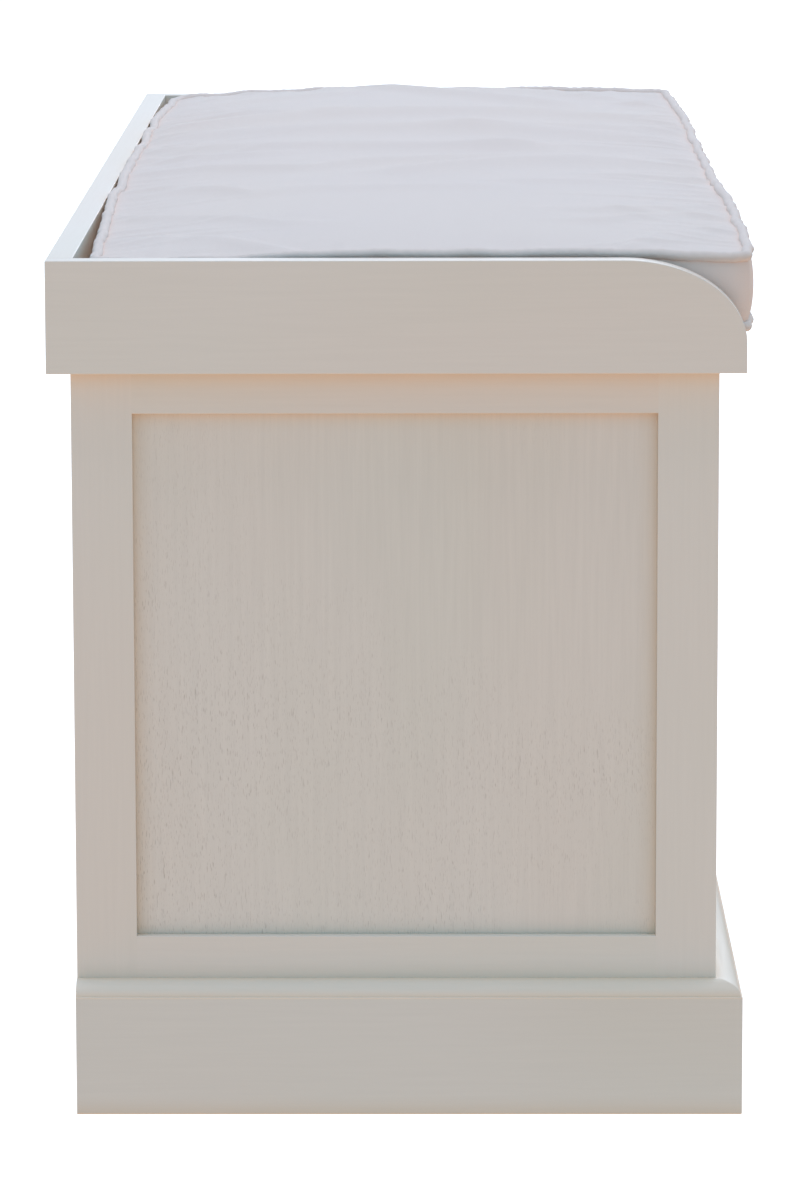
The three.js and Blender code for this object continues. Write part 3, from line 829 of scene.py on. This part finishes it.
BACK_TOP = (
    (-0.531, 0.4992), (-0.47, 0.4996), (-0.38, 0.5004), (-0.28, 0.5014), (-0.20, 0.5036),
    (-0.14, 0.5017), (-0.085, 0.5037), (0.0, 0.5039), (0.09, 0.5037), (0.14, 0.5018),
    (0.19, 0.5035), (0.235, 0.5034), (0.262, 0.5016), (0.29, 0.5032), (0.36, 0.503),
    (0.43, 0.501), (0.50, 0.4997), (0.531, 0.4988),
)
FRONT_TOP = (
    (-0.531, 0.5022), (-0.40, 0.5036), (-0.20, 0.5044), (0.0, 0.505), (0.25, 0.5052),
    (0.531, 0.5045),
)
NEAR_TOP = (
    (-0.205, 0.5022), (-0.174, 0.5032), (-0.12, 0.5043), (-0.02, 0.5045), (0.03, 0.5038),
    (0.07, 0.5022), (0.10, 0.5006), (0.14, 0.4997), (0.185, 0.4992),
)
FAR_TOP = (
    (-0.205, 0.5045), (-0.176, 0.5052), (-0.1, 0.5064), (0.05, 0.5064), (0.116, 0.5045),
    (0.154, 0.5018), (0.185, 0.4988),
)
CUSHION_END = 0.531  # outer edge of the piping at each end
HALF_DEPTH = 0.19  # of the cushion
CORNER = 0.008  # radius of the cover's upright corners, at the seam

FOLD_SINK = 0.0012  # how far the top sinks between folds, which draw their cloth from there
FOLD_FADE = 0.03  # length over which a fold dies away past its crest's ends
NEAR_SPREAD, FAR_SPREAD = 1.35, 0.75  # how far a fold leans: its two slopes, as shares of its width

# Folds of the loose top: height, width and crest, from seam to seam, as (y, x).
FOLDS = (
    (0.0016, 0.016, ((0.17, 0.272), (0.122, 0.289), (0.069, 0.263))),
    (0.0023, 0.018, ((0.157, 0.205), (0.12, 0.235), (0.056, 0.242), (-0.041, 0.233),
                     (-0.122, 0.246), (-0.186, 0.249))),
    (0.0024, 0.020, ((0.167, 0.145), (0.101, 0.152), (0.037, 0.122), (-0.041, 0.109),
                     (-0.103, 0.097), (-0.165, 0.103))),
    (0.0020, 0.016, ((-0.056, 0.127), (-0.119, 0.154), (-0.197, 0.199))),
    (0.0018, 0.016, ((0.172, 0.063), (0.138, 0.054), (0.097, 0.023), (-0.01, -0.014),
                     (-0.07, -0.008))),
    (0.0014, 0.013, ((-0.07, -0.004), (-0.131, 0.02), (-0.196, 0.044))),
    (0.0013, 0.013, ((0.031, -0.099), (-0.04, -0.084), (-0.115, -0.047), (-0.193, -0.022))),
    (0.0020, 0.018, ((-0.016, -0.146), (-0.055, -0.112), (-0.099, -0.085), (-0.144, -0.069),
                     (-0.198, -0.063))),
    (0.0012, 0.011, ((0.173, -0.076), (0.123, -0.085), (0.078, -0.11))),
    (0.0010, 0.010, ((0.178, 0.006), (0.141, -0.009), (0.101, -0.02))),
    (0.0016, 0.008, ((-0.15, -0.148), (-0.194, -0.131))),
    (0.0009, 0.011, ((-0.085, -0.209), (-0.14, -0.187), (-0.196, -0.166))),
    (0.0007, 0.014, ((0.117, -0.222), (0.046, -0.24), (-0.039, -0.241))),
    (0.0010, 0.012, ((0.166, -0.321), (0.14, -0.333), (0.111, -0.369), (0.077, -0.4))),
    (0.0009, 0.013, ((0.164, -0.443), (0.121, -0.458), (0.085, -0.482), (0.052, -0.529))),
    (0.0012, 0.010, ((-0.13, -0.347), (-0.164, -0.317), (-0.199, -0.284))),
    (0.0013, 0.011, ((-0.131, -0.393), (-0.162, -0.358), (-0.199, -0.333))),
    (0.0011, 0.020, ((-0.119, -0.544), (-0.144, -0.489), (-0.172, -0.437), (-0.199, -0.404))),
    (0.0020, 0.018, ((0.03, 0.508), (-0.008, 0.444), (-0.051, 0.389), (-0.094, 0.343))),
    (0.0012, 0.016, ((-0.021, 0.486), (-0.076, 0.462), (-0.136, 0.422), (-0.169, 0.398))),
    (0.0009, 0.012, ((0.173, -0.183), (0.141, -0.2), (0.102, -0.239))),
    (0.0011, 0.014, ((0.164, 0.36), (0.125, 0.381), (0.053, 0.418))),
)


def along_points(points, at):
    """Smoothly reads a curve given by a few points."""
    xs, ys = (np.array(values) for values in zip(*points))
    i = np.clip(np.searchsorted(xs, at) - 1, 0, len(xs) - 2)
    t = np.clip((at - xs[i]) / (xs[i + 1] - xs[i]), 0, 1)
    t = t * t * (3 - 2 * t)
    return ys[i] * (1 - t) + ys[i + 1] * t


def rounded_square(u, v, corner_u, corner_v):
    """Rounds the corners of the square from -1 to 1."""
    out = []
    s = np.clip((np.abs(u) - (1 - corner_u)) / corner_u, 0, 1)
    t = np.clip((np.abs(v) - (1 - corner_v)) / corner_v, 0, 1)
    for value, mine, other, corner in ((u, s, t, corner_u), (v, t, s, corner_v)):
        shrunk = mine * np.sqrt(1 - other * other / 2)
        out.append(np.sign(value) * (np.minimum(np.abs(value), 1 - corner) + shrunk * corner))
    return out


def wander(x, y):
    """Small wobble of the seams: sideways and in height."""
    sideways = 0.00045 * np.sin(x * 97 + 2.1 * np.sin(x * 23)) + 0.0003 * np.sin(x * 211 + 0.7)
    sideways += 0.0004 * np.sin(y * 131 + 1.1)
    height = 0.0005 * np.sin(x * 61 + 1.3) + 0.0003 * np.sin(x * 143 + y * 40)
    height += 0.0003 * np.sin(y * 118 + 0.4)
    return sideways, height


def seam_place(u, v, radius):
    """Where the seam's middle lies for a point (u, v) on the edge of the square from -1 to 1,
    and how a point inside is spread between the edges: x, y and the seam's height there."""
    half = CUSHION_END - radius
    u, v = rounded_square(u, v, CORNER / half, CORNER / HALF_DEPTH)
    x = u * half
    back = along_points(BACK_EDGE, x) - radius
    front = along_points(FRONT_EDGE, x) + radius
    y = (back + front) / 2 + v * (back - front) / 2
    across, deep = (u + 1) / 2, (v + 1) / 2
    ends = along_points(NEAR_TOP, y) * (1 - across) + along_points(FAR_TOP, y) * across
    longs = along_points(FRONT_TOP, x) * (1 - deep) + along_points(BACK_TOP, x) * deep
    front_line = FRONT_TOP[0][1] * (1 - across) + FRONT_TOP[-1][1] * across
    back_line = BACK_TOP[0][1] * (1 - across) + BACK_TOP[-1][1] * across
    top = ends + longs - front_line * (1 - deep) - back_line * deep
    edge = np.clip(np.maximum(np.abs(v) * 3 - 2, np.abs(u) * 9 - 8), 0, 1)
    sideways, height = wander(x, y)
    sideways = np.where(v > 0, -np.abs(sideways), sideways)
    return x, y + sideways * edge * np.abs(v), top - radius + height * edge


def fold_height(x, y, v, share):
    """How far the folds lift the top at (x, y); v is the place between the seams, -1 to 1."""
    total = np.zeros_like(x)
    for height, width, crest in FOLDS:
        ys, xs = (np.array(values) for values in zip(*sorted(crest)))
        bends = np.polyfit(ys, xs, min(2, len(ys) - 1))
        line = np.polyval(bends, np.clip(y, ys[0] - 0.01, ys[-1] + 0.01))
        past = np.maximum(ys[0] - y, y - ys[-1])
        fade = np.exp(-(np.clip(past, 0, None) / FOLD_FADE) ** 2)
        away = (x - line) / np.where(x < line, width * NEAR_SPREAD, width * FAR_SPREAD)
        total += height * fade * np.exp(-away * away)
    total += puckers(x, y)
    total -= FOLD_SINK * (1 - np.clip(np.abs(x) / CUSHION_END, 0, 1) ** 40)
    return total * share * (1 - np.abs(v) ** 24)


PUCKER_SEED = 23
SEAM_CLEAR = 0.008  # a pucker rises over this much from the seam


def puckers(x, y):
    """Short gathers that run in from the seams."""
    draw = np.random.default_rng(PUCKER_SEED)
    total = np.zeros_like(x)

    def gather(aside, inside, height, width, length):
        rise = np.clip(inside / SEAM_CLEAR, 0, 1)
        return height * rise * np.exp(-(aside / width) ** 2 - (inside / length) ** 2)

    for edge, inwards in ((BACK_EDGE, -1), (FRONT_EDGE, 1)):
        inside = (y - along_points(edge, x)) * inwards
        at = -0.52
        while at < 0.52:
            at += draw.uniform(0.011, 0.026)
            height, width = draw.uniform(0.0003, 0.00085), draw.uniform(0.0034, 0.0058)
            length, lean = draw.uniform(0.02, 0.085), draw.uniform(-0.5, 0.1) * inwards
            total += gather(x - at - lean * inside, inside, height, width, length)
    for side in (-1, 1):
        inside = CUSHION_END - side * x
        at = -0.19
        while at < 0.17:
            at += draw.uniform(0.014, 0.04)
            height, width = draw.uniform(0.0002, 0.0006), draw.uniform(0.004, 0.007)
            total += gather(y - at, inside, height, width, draw.uniform(0.015, 0.05))
    return total


class CushionCoverOperator(bpy.types.Operator):
    """Sewn cover of the box cushion, filled by its foam and settled by a cloth simulation"""

    bl_idname = "bench.cushion_cover"
    bl_label = "Cushion cover"

    RIM = 0.999  # share of the way out, or up, from which a point counts as on the edge
    HALF_LENGTH = 0.528
    SHOULDER = 0.0055  # width over which the top rises beside its seam
    BELLY = 0.0030  # how far the sides bulge
    SEAT_CLEAR = 0.0002  # of the cover's underside above the lowest of its piping
    PANEL_SIZE = (0.527, 0.19, 0.046)  # half sizes of the flat panels, and the boxing's height
    FRAMES = 26
    MOST_MOVE = 0.012

    def execute(self, context):
        cushion = settings().cushion
        cover = self.sewn(cushion)
        self.settle(cover, cushion)
        self.soften(cover)
        self.crease(cover, cushion)
        finish_piece(
            cover, material(cloth), "cushion", "seat_cushion", slot="cushion_fabric"
        )
        return {"FINISHED"}

    def sewn(self, cushion):
        """Top and bottom panels and the boxing between them, as one grid of faces."""
        only_none()
        across, deep = round(1.06 / cushion.grid), round(0.38 / cushion.grid)
        bpy.ops.mesh.primitive_grid_add(x_subdivisions=across, y_subdivisions=deep, size=2)
        cover = named("cushion_cover")
        bpy.ops.object.mode_set(mode="EDIT")
        bpy.ops.mesh.select_all(action="SELECT")
        bpy.ops.mesh.extrude_region_move(TRANSFORM_OT_translate={"value": (0, 0, 1)})
        leave_edit()
        pick(cover, "EDGE", lambda e: abs(e.verts[0].co.z - e.verts[1].co.z) > 0.5)
        bpy.ops.mesh.subdivide(number_cuts=7)
        bpy.ops.mesh.select_all(action="SELECT")
        bpy.ops.mesh.normals_make_consistent(inside=False)
        leave_edit()
        square = np.array([v.co for v in cover.data.vertices])
        self.weave_map(cover, square)
        kept = cover.data.attributes.new("square", "FLOAT_VECTOR", "POINT")
        kept.data.foreach_set("vector", square.ravel())
        self.shape(cover, square, cushion)
        return cover

    def shape(self, cover, square, cushion):
        """Brings the sewn grid to its size and pins its seams and its underside."""
        u, v, w = square.T
        x, y, top = seam_place(u, v, cushion.piping)
        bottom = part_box("seat_cushion")[0].z + cushion.piping
        edge = np.maximum(np.abs(u), np.abs(v))
        in_u, in_v = (1 - np.abs(u)) * self.HALF_LENGTH, (1 - np.abs(v)) * HALF_DEPTH
        rise = (1 - np.exp(-in_u / self.SHOULDER)) * (1 - np.exp(-in_v / self.SHOULDER))
        broad = (1 - np.abs(u) ** 10) * (1 - np.abs(v) ** 3)
        z = bottom + (top - bottom) * w
        z = np.where(w > self.RIM, z + cushion.piping * rise + cushion.crown * broad, z)
        under = (cushion.piping - self.SEAT_CLEAR) * np.clip((1 - edge) * 26, 0, 1)
        z = np.where(w < 1 - self.RIM, z - under, z)
        bulge = self.BELLY * np.sin(np.pi * np.clip(w, 0, 1)) ** 0.6
        belly = np.where(edge > self.RIM, bulge, 0.0)
        out = np.stack([np.where(np.abs(c) > self.RIM, np.sign(c), 0) for c in (u, v)])
        out = out / np.maximum(np.linalg.norm(out, axis=0), 1)
        places = np.stack([x + out[0] * belly, y + out[1] * belly, z], axis=1)
        cover.data.vertices.foreach_set("co", places.ravel())
        cover.data.update()
        seams = cover.vertex_groups.new(name="held")
        held = np.nonzero((w < 1 - self.RIM) | ((edge > self.RIM) & (w > self.RIM)))[0]
        seams.add([int(i) for i in held], 1.0, "REPLACE")

    def weave_map(self, cover, square):
        """Lays the weave flat on each panel, in metres."""
        layer = cover.data.uv_layers.new(name="weave")
        flat = square * self.PANEL_SIZE
        normals = np.array([p.normal for p in cover.data.polygons])
        for polygon, normal in zip(cover.data.polygons, normals):
            axis = int(np.abs(normal).argmax())
            keep = [i for i in range(3) if i != axis]
            for loop in polygon.loop_indices:
                place = flat[cover.data.loops[loop].vertex_index]
                layer.data[loop].uv = (place[keep[0]], place[keep[1]])

    def settle(self, cover, cushion):
        """Blows the cover up over its foam. The top has more cloth than it needs along its
        length, so it gathers in soft folds from front to back."""
        rest = np.array([v.co for v in cover.data.vertices])
        cover.shape_key_add(name="Basis")
        cut = cover.shape_key_add(name="Cut")
        wide = rest * (1 + cushion.slack, 1.004, 1.0)
        cut.data.foreach_set("co", wide.ravel())
        modifier = cover.modifiers.new("Cloth", "CLOTH")
        values = modifier.settings
        values.quality = 6
        values.mass = 0.25
        values.tension_stiffness = values.compression_stiffness = 22
        values.shear_stiffness = 6
        values.bending_stiffness = 0.35
        values.air_damping = 3
        values.use_pressure = True
        values.uniform_pressure_force = 1.2
        values.vertex_group_mass = "held"
        values.rest_shape_key = cut
        values.effector_weights.gravity = 0
        modifier.collision_settings.use_collision = False
        modifier.point_cache.frame_start = 1
        modifier.point_cache.frame_end = self.FRAMES
        for number in range(1, self.FRAMES + 1):
            bpy.context.scene.frame_set(number)
        shown = cover.evaluated_get(bpy.context.evaluated_depsgraph_get())
        settled = np.array([v.co for v in shown.data.vertices])
        move = settled - rest
        length = np.linalg.norm(move, axis=1, keepdims=True)
        move *= np.minimum(1, self.MOST_MOVE / np.maximum(length, 1e-9))
        cover.modifiers.remove(modifier)
        cover.shape_key_clear()
        cover.data.vertices.foreach_set("co", (rest + move).ravel())
        cover.data.update()
        bpy.context.scene.frame_set(1)

    def crease(self, cover, cushion):
        """Folds of the loose top and gathers along its seams."""
        count = len(cover.data.vertices)
        places, square = np.empty(count * 3), np.empty(count * 3)
        cover.data.vertices.foreach_get("co", places)
        cover.data.attributes["square"].data.foreach_get("vector", square)
        places, square = places.reshape(-1, 3), square.reshape(-1, 3)
        top = np.clip((square[:, 2] - 0.96) / 0.04, 0, 1)
        x, y = places[:, 0], places[:, 1]
        places[:, 2] += top * fold_height(x, y, square[:, 1], cushion.folds)
        cover.data.vertices.foreach_set("co", places.ravel())
        cover.data.attributes.remove(cover.data.attributes["square"])
        boxing = cover.data.attributes.new("boxing", "FLOAT", "POINT")
        boxing.data.foreach_set("value", 1 - top)
        cover.data.update()

    def soften(self, cover):
        """Refines the mesh once, for the folds."""
        only(cover)
        bpy.ops.object.shade_smooth()
        modifier = cover.modifiers.new("Fine cloth", "SUBSURF")
        modifier.levels = modifier.render_levels = 1
        bpy.ops.object.modifier_apply(modifier=modifier.name)


class PipingOperator(bpy.types.Operator):
    """Covered cord sewn into the cushion's top and bottom seams"""

    bl_idname = "bench.piping"
    bl_label = "Piping"

    def execute(self, context):
        cushion = settings().cushion
        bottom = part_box("seat_cushion")[0].z + cushion.piping
        for name, height in (("top", None), ("bottom", bottom)):
            path = self.path(cushion, height)
            piece = self.cord(f"cushion_{name}_piping", path, cushion.piping)
            finish_piece(piece, material(cloth, uv="wrap"), "cushion", slot="cushion_fabric")
        return {"FINISHED"}

    LONG, SHORT = 740, 270  # steps of the cord along a long and a short side
    SIDES = 12  # of its section
    DRAWN_IN = 0.0002  # radius left for the gathers
    # Gathers of the cloth round the cord: height, waves all the way round, how far and how often
    # they are drawn aside, and how much they twist.
    GATHERS = (
        (0.00011, 487, 0.9, 37, 1.7),
        (0.00009, 311, 2.0, 19, -1.2),
        (0.00018, 97, 2.0, 13, 1.0),
    )

    def path(self, cushion, height):
        """The seam's middle line, all the way round."""
        long_side = np.linspace(-1, 1, self.LONG, endpoint=False)
        short_side = np.linspace(-1, 1, self.SHORT, endpoint=False)
        end, side = np.ones(self.SHORT), np.ones(self.LONG)
        u = np.concatenate([long_side, end, -long_side, -end])
        v = np.concatenate([-side, short_side, side, -short_side])
        x, y, z = seam_place(u, v, cushion.piping)
        if height is not None:
            z = np.full_like(z, height)
        return np.stack([x, y, z], axis=1)

    def cord(self, name, path, radius):
        """Sweeps a ring along the path, gathered where the cloth is drawn round the cord."""
        sides, count = self.SIDES, len(path)
        ahead = np.roll(path, -1, axis=0) - np.roll(path, 1, axis=0)
        ahead /= np.linalg.norm(ahead, axis=1, keepdims=True)
        out = np.cross(ahead, (0, 0, 1.0))
        out /= np.linalg.norm(out, axis=1, keepdims=True)
        up = np.cross(out, ahead)
        distance = np.concatenate([[0], np.cumsum(np.linalg.norm(np.diff(path, axis=0), axis=1))])
        total = distance[-1] + np.linalg.norm(path[0] - path[-1])
        turn = 2 * np.pi * distance / total
        places, uvs = [], []
        for i in range(sides):
            angle = 2 * np.pi * i / sides
            gathers = sum(
                rise * np.sin(turn * waves + drawn * np.sin(turn * often) + twist * angle)
                for rise, waves, drawn, often, twist in self.GATHERS
            )
            reach = (radius - self.DRAWN_IN + gathers)[:, None]
            places.append(path + reach * (math.cos(angle) * out + math.sin(angle) * up))
            uvs.append(np.stack([distance, np.full(count, angle * radius)], axis=1))
        places = np.stack(places, axis=1)
        mesh = bpy.data.meshes.new(name)
        index = np.arange(count * sides).reshape(count, sides)
        ahead_index = np.roll(index, -1, axis=0)
        faces = np.stack(
            [index, np.roll(index, -1, axis=1), np.roll(ahead_index, -1, axis=1), ahead_index],
            axis=2,
        ).reshape(-1, 4)
        mesh.from_pydata(places.reshape(-1, 3).tolist(), [], faces.tolist())
        layer = mesh.uv_layers.new(name="wrap")
        flat = np.stack(uvs, axis=1).reshape(-1, 2)
        for loop in mesh.loops:
            layer.data[loop.index].uv = flat[loop.vertex_index]
        piece = bpy.data.objects.new(name, mesh)
        bpy.context.scene.collection.objects.link(piece)
        only(piece)
        bpy.ops.object.mode_set(mode="EDIT")
        bpy.ops.mesh.select_all(action="SELECT")
        bpy.ops.mesh.normals_make_consistent(inside=False)
        leave_edit()
        bpy.ops.object.shade_smooth()
        return piece


# ---- Stage ----
CAMERA_PLACE = (-3.6966, -0.0284, 0.8681)
CAMERA_TURN = (-0.0084, 0.1558, -0.0024)  # turn to the side, pitch down and roll, in radians
CAMERA_FOCAL = 5571.3 / 1200  # focal length as a share of the frame's height
CAMERA_SHIFT = -0.1
LIGHTS = (  # name, place, aim, size and power
    ("overhead", (0, 0, 3.4), (0, 0, 0), 3.0, 190),
    ("window", (6.8, -1.4, 2.9), (0, 0, 0.4), 3.4, 700),
)


class StageOperator(bpy.types.Operator):
    """Pale floor, soft lights and the camera"""

    bl_idname = "bench.stage"
    bl_label = "Stage"

    def execute(self, context):
        self.camera()
        self.floor()
        self.room()
        self.lights()
        context.scene.view_settings.view_transform = "Standard"
        return {"FINISHED"}

    def camera(self):
        turn, pitch, roll = CAMERA_TURN
        ahead = Vector((
            math.cos(pitch) * math.cos(turn), -math.cos(pitch) * math.sin(turn), -math.sin(pitch),
        ))
        right = Vector((-math.sin(turn), -math.cos(turn), 0))
        up = right.cross(ahead)
        across = math.cos(roll) * right + math.sin(roll) * up
        upwards = math.cos(roll) * up - math.sin(roll) * right
        only_none()
        bpy.ops.object.camera_add()
        camera = bpy.context.object
        camera.name = "camera"
        camera.matrix_world = Matrix.Translation(CAMERA_PLACE) @ Matrix(
            (across, upwards, -ahead)
        ).transposed().to_4x4()
        camera.data.sensor_fit = "AUTO"
        camera.data.sensor_width = 36
        camera.data.lens = 36 * CAMERA_FOCAL
        camera.data.shift_y = CAMERA_SHIFT
        camera.data.clip_end = 200
        bpy.context.scene.camera = camera

    def floor(self):
        """Pale floor, which gives a warm light back to the bench."""
        only_none()
        bpy.ops.mesh.primitive_plane_add(size=60)
        floor = named("floor")
        n = Nodes("pale_floor", roughness=0.8)
        dust = n.noise(n.place(), 3, detail=3.0)
        n.shader.inputs["Specular IOR Level"].default_value = 0.0
        n.shader.inputs["Emission Color"].default_value = (1, 1, 1, 1)
        n.shader.inputs["Emission Strength"].default_value = 0.75
        base = n.mix(dust, (0.83, 0.83, 0.83), (0.85, 0.85, 0.85))
        floor.data.materials.append(n.finish(base))
        glow = n.add("ShaderNodeEmission")
        glow.inputs["Color"].default_value = (*settings().stage.floor, 1)
        self.part_by_ray(n.tree, glow, n.shader, n.tree.nodes["Material Output"])

    def part_by_ray(self, tree, given, seen, output):
        """Shows one shader and lights the bench with another."""
        path = tree.nodes.new("ShaderNodeLightPath")
        mixed = tree.nodes.new("ShaderNodeMixShader")
        tree.links.new(path.outputs["Is Camera Ray"], mixed.inputs[0])
        tree.links.new(given.outputs[0], mixed.inputs[1])
        tree.links.new(seen.outputs[0], mixed.inputs[2])
        tree.links.new(mixed.outputs[0], output.inputs["Surface"])

    def room(self):
        """White to look at, and a softer light on the bench."""
        world = bpy.data.worlds.new("room")
        bpy.context.scene.world = world
        world.use_nodes = True
        tree = world.node_tree
        tree.nodes.clear()
        seen = tree.nodes.new("ShaderNodeBackground")
        given = tree.nodes.new("ShaderNodeBackground")
        given.inputs["Color"].default_value = (*settings().stage.room, 1)
        seen.inputs["Color"].default_value = (1, 1, 1, 1)
        self.part_by_ray(tree, given, seen, tree.nodes.new("ShaderNodeOutputWorld"))

    def lights(self):
        for name, place, aim, size, power in LIGHTS:
            self.area(name, place, aim, size, power, getattr(settings().stage, name))

    def area(self, name, place, aim, size, power, colour):
        only_none()
        bpy.ops.object.light_add(type="AREA", location=place)
        light = bpy.context.object
        light.name = light.data.name = name
        light.rotation_euler = (Vector(aim) - Vector(place)).to_track_quat("-Z", "Y").to_euler()
        light.data.size = size
        light.data.energy = power
        light.data.color = colour
        light.visible_camera = False


# ---- Panel and registration ----
OPERATORS = (
    StageOperator,
    RimOperator,
    SeatBoardOperator,
    EndFramesOperator,
    FrontAndBackOperator,
    PlinthOperator,
    DrawersOperator,
    InnerPartsOperator,
    CushionCoverOperator,
    PipingOperator,
)


class BenchPanel(bpy.types.Panel):
    """Lists the pieces of the bench"""

    bl_idname = "VIEW3D_PT_storage_bench"
    bl_label = "Storage Bench"
    bl_space_type = "VIEW_3D"
    bl_region_type = "UI"
    bl_category = "Bench"

    def draw(self, context):
        bench = context.scene.storage_bench
        for group in (bench.paint, bench.cushion, bench.stage):
            box = self.layout.box()
            for name in group.__annotations__:
                box.prop(group, name)
        for operator in OPERATORS:
            self.layout.operator(operator.bl_idname)


CLASSES = (PaintSettings, CushionSettings, StageSettings, BenchSettings, *OPERATORS, BenchPanel)


def register():
    for each in CLASSES:
        bpy.utils.register_class(each)
    bpy.types.Scene.storage_bench = PointerProperty(type=BenchSettings)


def unregister():
    del bpy.types.Scene.storage_bench
    for each in reversed(CLASSES):
        bpy.utils.unregister_class(each)


def main():
    register()
    for operator in OPERATORS:
        group, name = operator.bl_idname.split(".")
        getattr(getattr(bpy.ops, group), name)()


if __name__ == "__main__":
    main()
